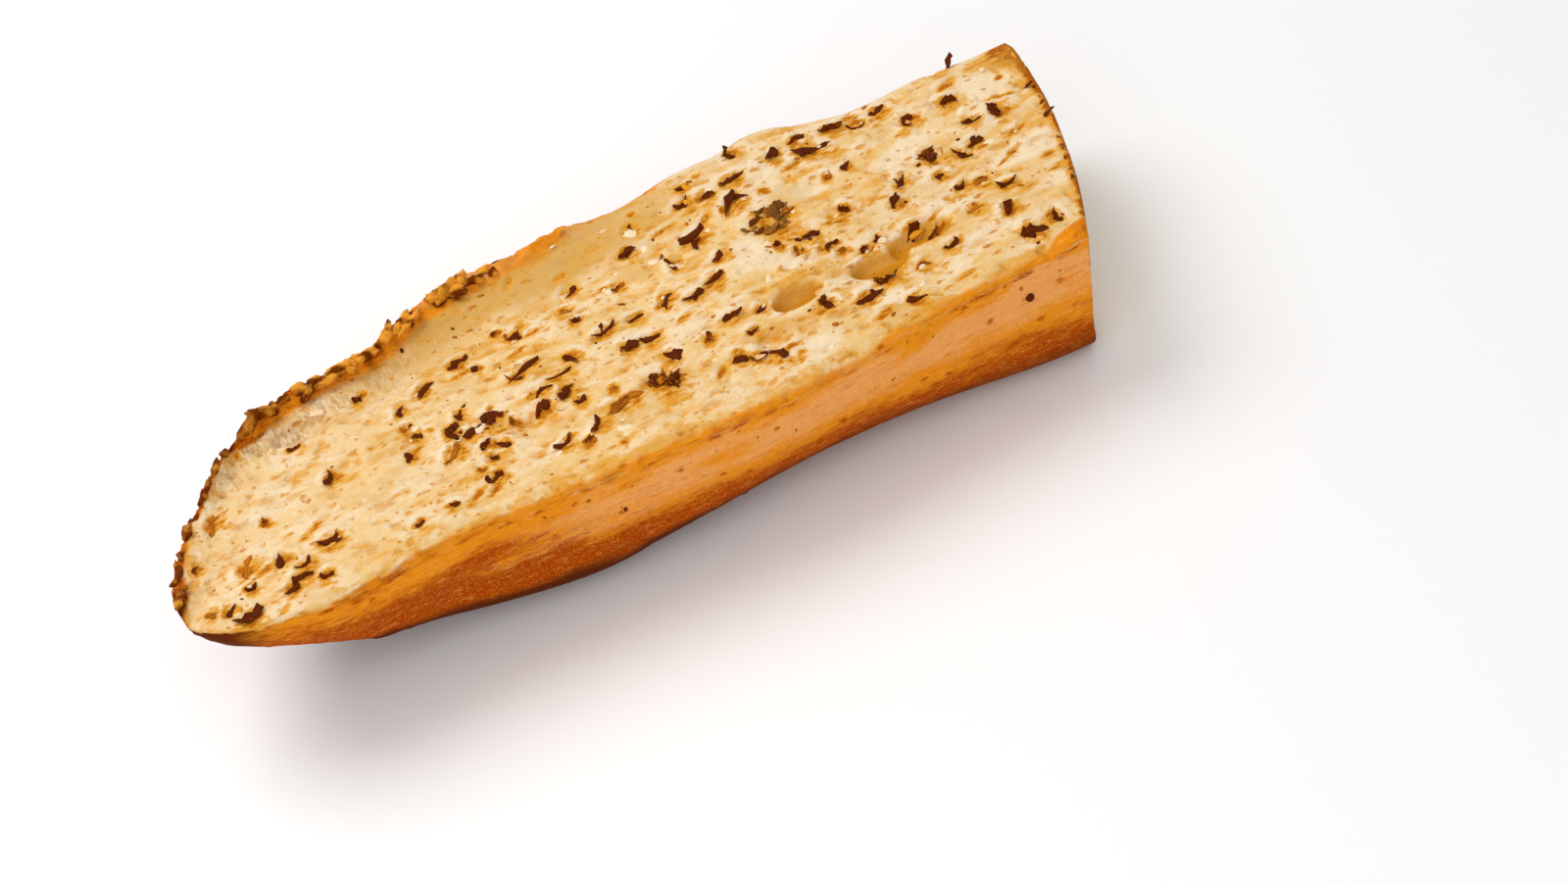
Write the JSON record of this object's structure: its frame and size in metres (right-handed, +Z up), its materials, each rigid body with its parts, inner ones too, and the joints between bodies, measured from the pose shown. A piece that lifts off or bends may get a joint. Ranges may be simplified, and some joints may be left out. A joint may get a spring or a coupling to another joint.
{
  "type": "garlic bread",
  "caption": "Half of a long bread roll, split flat and toasted, its cut face up and spread with garlic butter and dried herbs, with a rounded heel and a crosswise cut end.",
  "frame": {"origin": "centre of the object's box in plan, on the surface that the base rests on", "axes": "+X along the loaf from the rounded heel to the crosswise cut, +Y to the far long side, +Z up out of the cut face"},
  "size_m": [0.2216, 0.0806, 0.0411],
  "materials": {
    "toasted_bread": null,
    "crust": null,
    "herb": null,
    "garlic_butter": null
  },
  "bodies": {
    "root": {"garlic_bread": "toasted_bread"}
  },
  "joints": []
}
